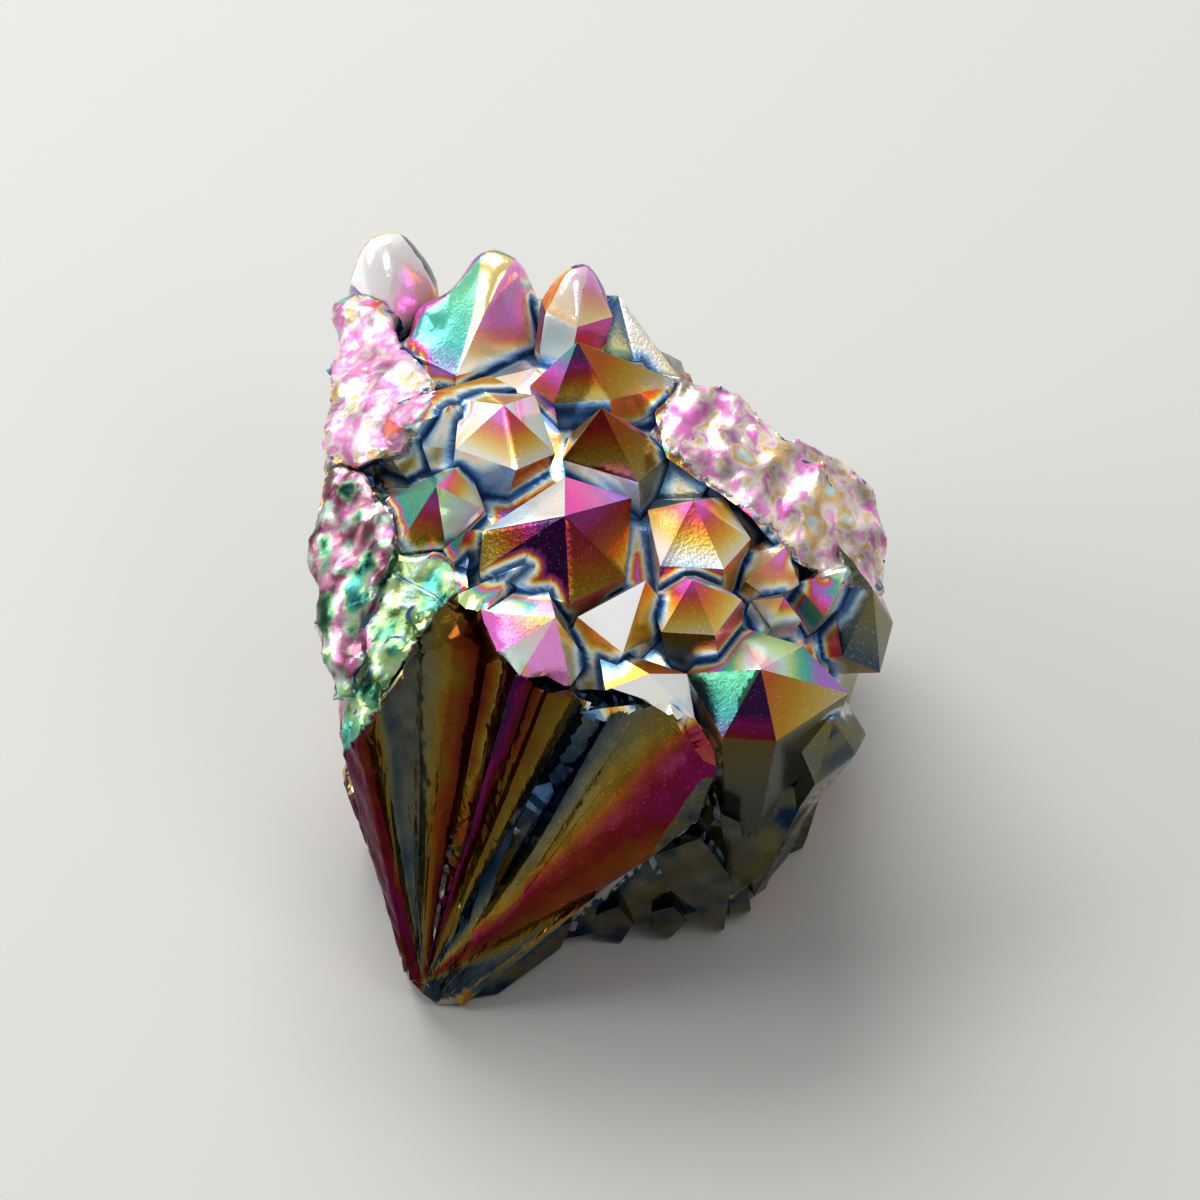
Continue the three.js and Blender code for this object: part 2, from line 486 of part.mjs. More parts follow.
const film = new THREE.MeshStandardMaterial({
  color: 0xa8803f,
  metalness: 0.9,
  roughness: 0.25,
  flatShading: true,
});
const { body, shift } = cluster();
const quartzCluster = new THREE.Mesh(outerSkin(body), film);
quartzCluster.name = 'quartz_cluster';

const specimen = new THREE.Group();
specimen.add(quartzCluster);
specimen.userData.displayOrigin = shift;
export default specimen;
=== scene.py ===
"""Aura quartz cluster: the finish of its metal film with painted light and shade, its small relief, and a
plain studio around it.
"""
import math

import bmesh
import bpy
import numpy as np
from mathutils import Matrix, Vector
from mathutils.bvhtree import BVHTree
from mathutils.kdtree import KDTree


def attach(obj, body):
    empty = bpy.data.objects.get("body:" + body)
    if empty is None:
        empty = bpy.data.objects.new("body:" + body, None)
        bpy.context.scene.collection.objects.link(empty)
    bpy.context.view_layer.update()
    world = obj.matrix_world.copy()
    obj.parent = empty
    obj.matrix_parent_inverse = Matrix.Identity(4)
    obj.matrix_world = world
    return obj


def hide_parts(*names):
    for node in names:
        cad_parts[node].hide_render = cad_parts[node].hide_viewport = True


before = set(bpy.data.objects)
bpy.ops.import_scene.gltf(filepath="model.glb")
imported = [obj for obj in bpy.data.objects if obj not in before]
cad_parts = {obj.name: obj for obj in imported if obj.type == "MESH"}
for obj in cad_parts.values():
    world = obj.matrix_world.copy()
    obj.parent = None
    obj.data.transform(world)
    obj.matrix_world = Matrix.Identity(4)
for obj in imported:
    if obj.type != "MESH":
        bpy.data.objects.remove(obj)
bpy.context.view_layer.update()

MM = 0.001
NODE = "quartz_cluster"

# The display frame of the cluster, as the photograph shows it: across, up the picture and out of it.
VIEW_ELEVATION = math.radians(42)
ACROSS = Vector((1, 0, 0))
UP = Vector((0, math.sin(VIEW_ELEVATION), math.cos(VIEW_ELEVATION)))
OUT = Vector((0, -math.cos(VIEW_ELEVATION), math.sin(VIEW_ELEVATION)))
DISPLAY_ORIGIN = Vector((-0.098, 6.686, 10.5)) * MM     # where the middle of the picture falls
PICTURE_SIDE = 1200                                     # pixels
PIXELS_PER_MM = 15
CROWN_CENTRE = np.array([-1.0, -8.0, 0.0])              # of the ball under the crown, in mm
VALLEY_RADIUS = 26.0

# Mesh detail: lengths in mm
WELD = 0.02
FLAT_ANGLE = math.radians(1.0)                          # faces that bend less than this are one facet
FINE_EDGE = 0.68                                        # on the side that the photograph shows
COARSE_EDGE = 1.4
BASE_EDGE = 4.0
SHOWN_OUT = 4.0                                         # the shown side is this far out and more
SPLIT_PASSES = 12
SHARP_ANGLE = math.radians(30)
DEPTH_CELL = 8                                          # pixels
DEPTH_SLACK = 2.5                                       # behind the foremost place

# Hollows between the points, with painted shade on their floors and a painted highlight on the rims beside
# them: ranges are distances from the crease in mm
CREASE = math.radians(20)                               # faces that bend in by more make a hollow
CREASE_STEP = 0.25
VALLEY_FLOOR = (0.15, 0.55)
VALLEY_WIDTH = (0.2, 1.15)
RIM_WIDTH = (0.5, 1.15)
VALLEY_FILM = 0.04
VALLEY_LIGHT = 0.38
RIM_LIGHT = 0.95
WALL_VALLEYS = 0.25                                     # strength of the hollows down the walls

# Relief: heights in mm, and the width of each noise
EDGE_SOFTENING = 0.3
ROUNDING_STEP = 0.5
CRUST_ROUNDING = 3                                      # passes
TIP_ROUNDING = 16
BORDER_PASSES = 4
CAP_SWELL = 0.9
TIP_SWELL = 0.4
LUMP_HEIGHT = 0.8
LUMP_WIDTH = 1.3
RIB_HEIGHT = 0.2
RIBS_PER_DEGREE = 0.22
RIB_LENGTH = 9.0
GRAIN_HEIGHT = 0.16
GRAIN_WIDTH = 0.7
WAVE_HEIGHT = 0.05
WAVE_WIDTH = 2.6
FLAT_FOOT = (0.1, 1.0)                                  # over the base, where the relief begins

# Film and light: patches in mm
PLAIN_FACE_LIGHT = (0.2, 0.9)
PLAIN_FACE_RISE = 10.0                                  # mm of height for the whole run of the film
PLAIN_FACE_DRIFT = 0.9
PLAIN_FACE_START = -0.1
PLAIN_FACE_PATCH = 7.0
FOOT_BIAS = 1.5                                         # more faces with a thin film at the foot
DRIFT_CONTRAST = 2.6
DRIFT_LAYERS = 4
SHINE_PATCH = 1.4
FRONT_WANDER = 4.0                                      # degrees
WANDER_DEGREES = 6.0
WANDER_LENGTH = 5.0
FRONT_GRAIN_PATCH = 0.9
FRONT_FILM_GRAIN = 0.06
FRONT_LIGHT_GRAIN = 0.3
FRONT_MOTTLE = 0.09
MOTTLE_PATCH = 2.4
FRONT_BLUSH = 0.035                                     # film that the right column gains at its top
BLUSH_ALONG = (17.0, 21.0)                              # mm from the tip
BLUSH_ANGLE = (42.0, 47.0)                              # degrees from upright
CROWN_GAIN = 0.2                                        # more light for faces that aren't dark
WALL_SHADE = 0.45
WALL_TOP = (9.0, 17.0)                                  # mm over the base, where the crown begins
BACK_EDGE = (-7.0, 2.0)                                 # mm out, where the crown begins
SEEDS = {
    "face foot": 11, "face rise": 12, "face light": 13, "face drift": 14, "wander": 31, "grain": 32,
    "mottle": 33, "lumps": 51, "ribs": 52, "front grain": 53, "waves": 54,
}
SHINE_SEED_STEP = 20

# Finish, with painted glints and painted shade: sizes of its noises in mm
METALNESS = 0.95                                        # in shade
METALNESS_LOSS = 0.5                                    # in full light
FILM_GRAIN = 0.03
FILM_GRAIN_SIZE = 0.5
# Painted glints: small spots of added light on the film
PAINTED_GLINT = 0.24
PAINTED_GLINT_SIZE = 0.15
PAINTED_GLINT_LEVEL = 0.68
# The least share of a colour that painted shade leaves
DARKEST = 0.1
FACE_ROUGHNESS = 0.10
CRUST_ROUGHNESS = 0.14
PATCH_ROUGHNESS = 0.16
ROUGHNESS_PATCH = 0.35
BUMP_HEIGHT = 0.03
BUMP_STRENGTH = 0.5
BUMP_SIZE = 0.22

# Sockets of a colour mix node
MIX_FACTOR = 0
MIX_FIRST = 6
MIX_SECOND = 7
MIX_COLOUR = 2

# Studio: soft boxes by place and side in mm, and power in watts
SOFT_BOXES = {
    "top light": ((-140, 300, 400), 420, 3.4),
    "left light": ((-420, -60, 300), 240, 1.0),
    "front light": ((200, -300, 420), 200, 0.45),
}
SURROUND_LIGHT = 0.42
FLOOR_SIDE = 4.0
FLOOR_COLOUR = (0.70, 0.70, 0.69)
FLOOR_ROUGHNESS = 0.7
CAMERA_LENS = 600.0
CAMERA_SENSOR = 36.0

# The film's colours in the order of its thickness, thin first: in shade and in full light.
FILM_COLOURS = {
    "midnight": ((0.02, 0.07, 0.15), (0.10, 0.25, 0.45)),
    "blue": ((0.08, 0.18, 0.30), (0.42, 0.62, 0.84)),
    "sky": ((0.24, 0.31, 0.35), (0.78, 0.90, 0.96)),
    "white": ((0.40, 0.41, 0.36), (1.00, 1.00, 1.00)),
    "cream": ((0.46, 0.43, 0.26), (1.00, 0.96, 0.80)),
    "yellow": ((0.48, 0.39, 0.12), (1.00, 0.86, 0.42)),
    "gold": ((0.44, 0.31, 0.06), (0.97, 0.70, 0.22)),
    "orange": ((0.46, 0.20, 0.05), (0.97, 0.52, 0.24)),
    "red": ((0.40, 0.07, 0.09), (0.94, 0.36, 0.45)),
    "magenta": ((0.44, 0.04, 0.29), (0.98, 0.44, 0.90)),
    "purple": ((0.17, 0.04, 0.21), (0.74, 0.54, 0.90)),
    "teal": ((0.04, 0.20, 0.22), (0.33, 0.78, 0.74)),
    "green": ((0.12, 0.35, 0.27), (0.48, 0.84, 0.66)),
    "lime": ((0.38, 0.47, 0.23), (0.84, 0.94, 0.62)),
    "mint": ((0.42, 0.56, 0.52), (0.84, 0.98, 0.94)),
    "blush": ((0.48, 0.34, 0.36), (0.98, 0.80, 0.84)),
    "rose": ((0.46, 0.20, 0.34), (0.99, 0.54, 0.86)),
    "pearl": ((0.50, 0.47, 0.44), (1.00, 0.97, 0.93)),
    "honey": ((0.46, 0.34, 0.16), (0.99, 0.77, 0.42)),
    "ice": ((0.34, 0.44, 0.46), (0.82, 0.96, 0.98)),
}
FILM_NAMES = list(FILM_COLOURS)

# Faces of the crown's points. A face's film runs from one colour at the first pixel of the photograph
# to another at the second, and the last number is its light: -1 black, 0 in shade, 1 in full light, 2 white.
FACES = {
    "white cap": [
        ((366, 296), "ice", (372, 250), "white", 1.7),
        ((382, 275), "ice", (386, 248), "white", 1.7),
        ((408, 300), "rose", (398, 250), "pearl", 1.6),
        ((410, 322), "pearl", (404, 302), "pearl", 1.8),
        ((372, 330), "blush", (372, 300), "pearl", 1.2),
        ((415, 305), "rose", (412, 285), "pearl", 1.4),
        ((430, 312), "blush", (416, 272), "pearl", 1.5),
        ((425, 300), "blush", (425, 260), "pearl", 1.5),
    ],
    "great back point": [
        ((425, 384), "purple", (472, 300), "green", 0.7),
        ((505, 374), "white", (508, 326), "magenta", 1.05),
        ((420, 372), "orange", (430, 366), "purple", 0.4),
        ((524, 300), "gold", (530, 280), "rose", 1.0),
    ],
    "pink back point": [
        ((556, 318), "honey", (566, 280), "pearl", 1.1),
        ((590, 320), "yellow", (592, 288), "magenta", 1.1),
        ((578, 310), "pearl", (580, 258), "rose", 1.1),
        ((565, 335), "sky", (570, 322), "white", 0.9),
    ],
    "grey back point": [
        ((610, 345), "sky", (618, 305), "blue", 0.25),
        ((660, 372), "cream", (628, 312), "white", 0.75),
    ],
    "broad back point": [
        ((538, 398), "orange", (568, 356), "teal", 0.4),
        ((586, 404), "cream", (580, 362), "purple", 0.12),
        ((650, 394), "cream", (606, 360), "orange", 0.3),
        ((575, 412), "midnight", (575, 402), "sky", 0.5),
    ],
    "brown point": [
        ((566, 456), "white", (592, 428), "red", 0.7),
        ((604, 484), "white", (602, 430), "red", -0.15),
        ((662, 472), "cream", (622, 430), "orange", 0.2),
        ((600, 486), "sky", (600, 476), "white", 0.85),
    ],
    "stepped point": [
        ((462, 425), "honey", (492, 410), "pearl", 1.1),
        ((488, 464), "white", (506, 424), "magenta", 0.95),
        ((540, 464), "white", (522, 424), "red", 0.45),
        ((525, 408), "mint", (515, 410), "ice", 1.1),
        ((490, 474), "blue", (486, 462), "white", 0.9),
    ],
    "long blade": [
        ((385, 458), "gold", (412, 408), "magenta", 0.7),
        ((420, 440), "sky", (425, 410), "white", 0.75),
    ],
    "short blade": [
        ((448, 448), "white", (452, 412), "magenta", 0.5),
    ],
    "green point": [
        ((402, 548), "teal", (424, 484), "green", 0.42),
        ((424, 552), "yellow", (438, 494), "purple", 0.18),
        ((447, 492), "lime", (482, 516), "blush", 0.8),
        ((478, 484), "cream", (450, 474), "magenta", 0.8),
    ],
    "small gold point": [
        ((462, 556), "yellow", (472, 536), "magenta", 0.35),
    ],
    "great middle point": [
        ((500, 520), "sky", (552, 508), "white", 0.62),
        ((505, 602), "yellow", (528, 562), "purple", 0.0),
        ((488, 548), "yellow", (540, 520), "purple", 0.05),
        ((592, 606), "yellow", (576, 548), "red", 0.08),
        ((630, 566), "yellow", (586, 520), "magenta", 0.16),
        ((620, 500), "purple", (575, 505), "magenta", 0.6),
    ],
    "mirror point": [
        ((600, 632), "white", (640, 588), "white", 1.8),
        ((596, 652), "blue", (622, 672), "gold", 0.5),
    ],
    "round gold point": [
        ((690, 634), "cream", (684, 586), "magenta", 0.26),
        ((736, 612), "cream", (698, 588), "red", 0.6),
        ((715, 582), "blush", (700, 580), "purple", 0.7),
        ((690, 660), "sky", (690, 634), "gold", 0.2),
        ((655, 610), "white", (678, 588), "magenta", 0.7),
    ],
    "pink and blue point": [
        ((648, 552), "sky", (686, 508), "magenta", 0.85),
        ((686, 568), "sky", (692, 520), "red", 0.3),
        ((742, 556), "white", (702, 510), "magenta", 0.6),
        ((740, 520), "white", (700, 502), "magenta", 0.8),
    ],
    "small pink point": [
        ((752, 592), "yellow", (776, 558), "magenta", 0.95),
        ((786, 592), "yellow", (784, 560), "magenta", 0.9),
    ],
    "yellow point": [
        ((764, 622), "sky", (774, 602), "gold", 0.9),
        ((786, 620), "sky", (784, 602), "magenta", 0.7),
    ],
    "teal and pink point": [
        ((815, 604), "red", (836, 576), "mint", 0.7),
        ((850, 598), "teal", (848, 578), "blush", 0.7),
    ],
    "grey side point": [
        ((842, 655), "sky", (862, 602), "cream", 0.0),
        ((876, 660), "white", (874, 605), "cream", 0.05),
        ((838, 642), "sky", (848, 602), "white", 0.0),
    ],
    "teal and purple point": [
        ((698, 664), "red", (748, 650), "blush", 0.75),
        ((770, 645), "lime", (760, 660), "blush", 0.7),
        ((716, 742), "purple", (742, 688), "green", 0.15),
        ((748, 745), "orange", (752, 712), "purple", 0.02),
        ((838, 700), "cream", (766, 676), "orange", 0.3),
        ((812, 662), "purple", (770, 664), "blush", 0.5),
        ((742, 790), "white", (742, 745), "yellow", -0.3),
        ((800, 745), "white", (800, 725), "cream", -0.1),
    ],
    "grey lower point": [
        ((815, 760), "white", (828, 730), "cream", -0.1),
        ((848, 745), "white", (842, 728), "cream", -0.05),
    ],
    "small white point": [
        ((668, 706), "cream", (660, 682), "white", 1.3),
        ((690, 695), "white", (672, 680), "white", 1.2),
    ],
    "fan point": [
        ((506, 640), "magenta", (548, 604), "gold", 0.85),
        ((508, 660), "mint", (545, 628), "blush", 0.95),
        ((548, 680), "magenta", (552, 630), "magenta", 1.0),
        ((582, 670), "cream", (566, 632), "yellow", 0.6),
        ((520, 592), "mint", (548, 606), "magenta", 0.9),
    ],
    "pale point": [
        ((470, 598), "lime", (514, 576), "mint", 0.85),
    ],
}

# The front columns: their colours and painted light by the angle about the tip, in degrees from upright;
# light below 0 is painted shade.
TIP_PIXEL = (425, 978)
FRONT_BANDS = [
    (-26, "red", -0.5), (-19, "magenta", -0.5), (-14, "red", -0.4), (-11, "yellow", -0.3),
    (-7, "sky", -0.45), (-2, "white", -0.45), (2, "cream", -0.4), (6, "gold", -0.2),
    (10, "red", -0.5), (12, "yellow", 0.0), (14, "purple", -0.2), (17, "purple", -0.2),
    (20, "red", -0.55), (23, "gold", -0.45), (28, "yellow", -0.25), (31, "white", -0.45),
    (34, "blue", -0.4), (37, "sky", -0.3), (40, "cream", -0.1), (43, "yellow", 0.1),
    (46, "orange", 0.1), (49, "red", 0.08), (53, "red", -0.2), (58, "orange", -0.25),
    (62, "orange", 0.0), (66, "yellow", -0.35), (72, "sky", -0.5),
]

# The height of the front columns over the plain solid by the same angle, in mm.
FRONT_RIDGES = [
    (-24, 0.0), (-14, 0.4), (-9, -0.2), (-2, 0.1), (6, 0.8), (10, 0.4), (13, -0.7), (18, 0.3), (22, -0.3),
    (27, 0.4), (33, -1.2), (38, -0.2), (45, 0.9), (52, 0.7), (60, 0.3), (64, -0.4), (70, 0.0),
]
RIDGE_START = 10.0                                      # mm from the tip, where they reach full height

# Zones where the film drifts: the width of its patches in mm, a seed, the light, how far it swings, colours.
DRIFTS = {
    "shoulder": (2.0, 41, 0.7, 0.8, ("ice", "honey", "pearl", "rose", "pearl", "honey", "rose")),
    "upper flank": (1.8, 42, 0.65, 0.9, ("honey", "pearl", "blush", "pearl", "rose", "pearl", "ice")),
    "flank": (1.8, 43, 0.25, 1.4, ("green", "mint", "blush", "rose", "blush", "mint", "teal")),
    "plate": (2.2, 44, 0.4, 1.0, ("teal", "green", "lime", "mint", "lime", "green")),
    "lower": (3.2, 45, -0.4, 0.5, ("sky", "white", "cream", "white", "blue")),
}

# Outlines on the photograph, in pixels.
FRONT_FACE = [
    (352, 735), (395, 680), (430, 612), (455, 592), (488, 606), (498, 650), (525, 670), (590, 690),
    (655, 690), (712, 738), (710, 800), (690, 822), (640, 862), (560, 915), (470, 985), (430, 1000),
    (395, 960), (370, 880), (345, 790),
]
RIGHT_SHOULDER = [
    (655, 440), (672, 385), (722, 375), (800, 430), (880, 480), (900, 560), (880, 595), (810, 575),
    (760, 520), (700, 480),
]
UPPER_LEFT_FLANK = [(325, 300), (400, 300), (412, 350), (440, 385), (405, 460), (300, 480), (310, 380)]
LEFT_FLANK = [
    (300, 460), (380, 470), (400, 530), (405, 570), (375, 660), (352, 745), (320, 720), (290, 540),
]
GREEN_PLATE = [
    (400, 548), (455, 560), (460, 592), (430, 625), (395, 690), (345, 760), (350, 690), (375, 640),
]
WHITE_CAP = [(345, 220), (440, 220), (440, 330), (345, 330)]
BACK_TIPS = [
    (462, 235), (535, 235), (545, 255), (620, 255), (612, 296), (560, 300), (525, 285), (475, 290),
]
LOWER_RIGHT = [
    (700, 770), (790, 725), (900, 700), (880, 800), (760, 960), (480, 1020), (470, 985), (640, 862),
]


def linear(colour):
    """A screen colour as the shader needs it."""
    return tuple(c / 12.92 if c < 0.04045 else ((c + 0.055) / 1.055) ** 2.4 for c in colour)


def film_place(name):
    """A named colour's place in the film's order, from 0 to 1."""
    return FILM_NAMES.index(name) / (len(FILM_NAMES) - 1)


def smooth_step(low, high, values):
    """Rises smoothly from 0 at `low` to 1 at `high`."""
    share = np.clip((values - low) / (high - low), 0.0, 1.0)
    return share * share * (3.0 - 2.0 * share)


def lattice_number(cells, salt):
    """A number from 0 to 1 that belongs to a cell of a grid, the same each run."""
    mixed = (cells[..., 0] * 73856093) ^ (cells[..., 1] * 19349663) ^ (cells[..., 2] * 83492791)
    mixed = (mixed ^ (salt * 2654435761)) & 0xFFFFFFFF
    mixed = ((mixed ^ (mixed >> 15)) * 2246822519) & 0xFFFFFFFF
    mixed = ((mixed ^ (mixed >> 13)) * 3266489917) & 0xFFFFFFFF
    return ((mixed ^ (mixed >> 16)) & 0xFFFFFF) / float(0xFFFFFF)


def soft_noise(places, size, salt):
    """Smooth noise from 0 to 1 over places in mm, its features about `size` wide."""
    scaled = places / size
    cell = np.floor(scaled).astype(np.int64)
    part = scaled - cell
    part = part * part * (3.0 - 2.0 * part)
    total = np.zeros(places.shape[:-1])
    for corner in np.ndindex(2, 2, 2):
        step = np.array(corner)
        weight = np.prod(np.where(step == 1, part, 1.0 - part), axis=-1)
        total += weight * lattice_number(cell + step, salt)
    return total


def layered_noise(places, size, salt, layers=3):
    """Noise from 0 to 1 with finer layers on top of coarse ones."""
    total = np.zeros(places.shape[:-1])
    share, whole = 1.0, 0.0
    for layer in range(layers):
        total += share * soft_noise(places, size / 2 ** layer, salt + layer)
        whole += share
        share *= 0.5
    return total / whole


def inside(outline, pixels):
    """Which of the pixels lie inside an outline."""
    found = np.zeros(pixels.shape[:-1], bool)
    x, y = pixels[..., 0], pixels[..., 1]
    for (x0, y0), (x1, y1) in zip(outline, outline[1:] + outline[:1]):
        if y0 == y1:
            continue
        crosses = (y0 > y) != (y1 > y)
        found ^= crosses & (x < x0 + (y - y0) / (y1 - y0) * (x1 - x0))
    return found


def display_places(points):
    """Points in the part's frame as places in the display frame, in mm."""
    turn = np.array([ACROSS, UP, OUT]).T
    return (points - np.array(DISPLAY_ORIGIN)) / MM @ turn


def picture_pixels(places):
    """Where places of the display frame are seen in the photograph."""
    middle = PICTURE_SIDE / 2
    across = middle + PIXELS_PER_MM * places[..., 0]
    down = middle - PIXELS_PER_MM * places[..., 1]
    return np.stack([across, down], axis=-1)


def faceted_copy(node):
    """A copy of the node's mesh in whole flat facets, and the layer that holds their numbers."""
    mesh = bmesh.new()
    mesh.from_mesh(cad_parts[node].data)
    bmesh.ops.remove_doubles(mesh, verts=mesh.verts, dist=WELD * MM)
    bmesh.ops.dissolve_degenerate(mesh, dist=WELD * MM, edges=mesh.edges)
    flaps = [face for face in mesh.faces if any(edge.is_boundary for edge in face.edges)]
    bmesh.ops.delete(mesh, geom=flaps, context="FACES")
    bmesh.ops.dissolve_limit(mesh, angle_limit=FLAT_ANGLE, verts=mesh.verts, edges=mesh.edges)
    mesh.normal_update()
    number = mesh.faces.layers.int.new("facet")
    for face in mesh.faces:
        face[number] = -1
    count = 0
    for first in mesh.faces:
        if first[number] >= 0:
            continue
        waiting = [first]
        first[number] = count
        while waiting:
            face = waiting.pop()
            for edge in face.edges:
                for other in edge.link_faces:
                    if other[number] < 0 and other.normal.angle(face.normal, math.pi) < FLAT_ANGLE:
                        other[number] = count
                        waiting.append(other)
        count += 1
    return mesh, number


def valley_points(mesh):
    """Points along the creases where faces meet in a hollow."""
    points = []
    spacing = CREASE_STEP * MM
    for edge in mesh.edges:
        if len(edge.link_faces) != 2 or edge.is_convex or edge.calc_face_angle(0.0) < CREASE:
            continue
        steps = max(1, int(edge.calc_length() / spacing))
        start, end = edge.verts[0].co, edge.verts[1].co
        points.extend(start.lerp(end, step / steps) for step in range(steps + 1))
    return points


def split(triangles, middles, facets):
    """Cuts each triangle at the middles of its edges, where -1 says that an edge stays whole."""
    cut = middles >= 0
    count = cut.sum(axis=1)
    whole_edge = cut.argmin(axis=1)
    first = np.select([count == 1, count == 2], [cut.argmax(axis=1), (whole_edge + 1) % 3], 0)
    turn = (first[:, None] + np.arange(3)) % 3
    a, b, c = np.take_along_axis(triangles, turn, axis=1).T
    ab, bc, ca = np.take_along_axis(middles, turn, axis=1).T
    patterns = [
        [(a, b, c)],
        [(a, ab, c), (ab, b, c)],
        [(ab, b, bc), (a, ab, bc), (a, bc, c)],
        [(a, ab, ca), (ab, b, bc), (ca, bc, c), (ab, bc, ca)],
    ]
    pieces = []
    owners = []
    for cuts, pattern in enumerate(patterns):
        chosen = count == cuts
        for corners in pattern:
            pieces.append(np.stack([corner[chosen] for corner in corners], axis=1))
            owners.append(facets[chosen])
    return np.vstack(pieces), np.concatenate(owners)


def longest_edges(middles):
    """How long an edge may be, by the place of its middle: short on the shown side, long on the base."""
    places = display_places(middles)
    pixels = picture_pixels(places)
    shown = (places[:, 2] > SHOWN_OUT) | inside(WHITE_CAP, pixels) | inside(BACK_TIPS, pixels)
    on_base = middles[:, 2] < WELD * MM
    return MM * np.select([on_base, shown], [BASE_EDGE, FINE_EDGE], COARSE_EDGE)


def refine(points, triangles, facets):
    """Splits edges until none is too long for its place."""
    for _ in range(SPLIT_PASSES):
        ends = np.sort(np.stack([triangles, np.roll(triangles, -1, axis=1)], axis=2), axis=2)
        keys = (ends[..., 0] * len(points) + ends[..., 1]).ravel()
        edges, place = np.unique(keys, return_inverse=True)
        starts, stops = edges // len(points), edges % len(points)
        halfway = (points[starts] + points[stops]) / 2
        is_long = np.linalg.norm(points[starts] - points[stops], axis=1) > longest_edges(halfway)
        if not is_long.any():
            break
        middles = np.full(len(edges), -1)
        middles[is_long] = len(points) + np.arange(is_long.sum())
        points = np.vstack([points, halfway[is_long]])
        triangles, facets = split(triangles, middles[place].reshape(triangles.shape), facets)
    return points, triangles, facets


def seen_facet(tree, numbers, pixel):
    """The facet that a pixel of the photograph looks at."""
    middle = PICTURE_SIDE / 2
    across = (pixel[0] - middle) / PIXELS_PER_MM * MM
    up = (middle - pixel[1]) / PIXELS_PER_MM * MM
    start = DISPLAY_ORIGIN + ACROSS * across + UP * up + OUT
    _, _, index, _ = tree.ray_cast(start, -OUT)
    return None if index is None else numbers[index]


def unit(vectors):
    """Vectors of length 1."""
    return vectors / np.maximum(np.linalg.norm(vectors, axis=-1, keepdims=True), 1e-12)


def triangle_normals(points, triangles):
    """Each triangle's normal, as long as twice its area."""
    a, b, c = points[triangles].transpose(1, 0, 2)
    return np.cross(b - a, c - a)


def point_normals(points, triangles):
    """Each point's normal, from the triangles around it."""
    normals = triangle_normals(points, triangles)
    total = np.zeros_like(points)
    for corner in triangles.T:
        np.add.at(total, corner, normals)
    return unit(total)


def neighbour_means(points, triangles):
    """The middle of each point's neighbours."""
    total = np.zeros_like(points)
    count = np.zeros(len(points))
    for start, stop in ((0, 1), (1, 2), (2, 0)):
        np.add.at(total, triangles[:, start], points[triangles[:, stop]])
        np.add.at(count, triangles[:, start], 1.0)
    return total / np.maximum(count, 1.0)[:, None]


def tip_angles(pixels):
    """Angles about the tip of the chunk, in degrees from upright, and the distances from it in mm."""
    across = pixels[..., 0] - TIP_PIXEL[0]
    up = TIP_PIXEL[1] - pixels[..., 1]
    return np.degrees(np.arctan2(across, up)), np.hypot(across, up) / PIXELS_PER_MM


def hollow_distances(points, hollows):
    """How far each point is from the nearest hollow crease, in mm."""
    finder = KDTree(len(hollows))
    for index, place in enumerate(hollows):
        finder.insert(place, index)
    finder.balance()
    return np.array([finder.find(point)[2] for point in points]) / MM


def read_facets():
    """The node's facets: their points, triangles and numbers, the painted ones, and the hollow creases."""
    mesh, number = faceted_copy(NODE)
    mesh.faces.ensure_lookup_table()
    tree = BVHTree.FromBMesh(mesh)
    polygon_numbers = [face[number] for face in mesh.faces]
    painted = {}
    for rows in FACES.values():
        for row in rows:
            (x0, y0), _, (x1, y1), _, _ = row
            facet = seen_facet(tree, polygon_numbers, ((x0 + x1) / 2, (y0 + y1) / 2))
            if facet is not None:
                painted[facet] = row
    hollows = valley_points(mesh)
    bmesh.ops.triangulate(mesh, faces=mesh.faces[:])
    mesh.verts.ensure_lookup_table()
    points = np.array([vert.co for vert in mesh.verts])
    triangles = np.array([[vert.index for vert in face.verts] for face in mesh.faces])
    facets = np.array([face[number] for face in mesh.faces])
    mesh.free()
    return points, triangles, facets, painted, hollows


def zone_masks(pixels, is_shown):
    """Which places lie in each zone that is outlined on the photograph."""
    zones = {
        "front": FRONT_FACE, "shoulder": RIGHT_SHOULDER, "upper flank": UPPER_LEFT_FLANK,
        "flank": LEFT_FLANK, "plate": GREEN_PLATE, "lower": LOWER_RIGHT,
    }
    return {name: inside(outline, pixels) & is_shown for name, outline in zones.items()}


def foremost(places):
    """Which places are the foremost ones, as the photograph sees them."""
    cells = (picture_pixels(places) // DEPTH_CELL).astype(int)
    _, cell = np.unique(cells[:, 0] * PICTURE_SIDE + cells[:, 1], return_inverse=True)
    front = np.full(cell.max() + 1, -np.inf)
    np.maximum.at(front, cell, places[:, 2])
    return places[:, 2] > front[cell] - DEPTH_SLACK


def facet_film(places, facets):
    """Film and light of a facet that has no colours of its own: thin at its foot, thick at its top."""
    cells = np.stack([facets, facets * 3 + 1, facets * 7 + 2], axis=-1)
    thinnest, middle, thickest = (film_place(name) for name in ("sky", "gold", "purple"))
    foot = thinnest + (thickest - thinnest) * lattice_number(cells, SEEDS["face foot"]) ** FOOT_BIAS
    rise = (thickest - middle) * lattice_number(cells, SEEDS["face rise"])
    dimmest, brightest = PLAIN_FACE_LIGHT
    light = dimmest + (brightest - dimmest) * lattice_number(cells, SEEDS["face light"])
    height = np.linalg.norm(places - CROWN_CENTRE, axis=-1) - VALLEY_RADIUS
    drift = layered_noise(places, PLAIN_FACE_PATCH, SEEDS["face drift"])
    share = np.clip(height / PLAIN_FACE_RISE + PLAIN_FACE_DRIFT * drift + PLAIN_FACE_START, 0.0, 1.0)
    return foot[:, None] + rise[:, None] * share, np.repeat(light[:, None], 3, axis=1)


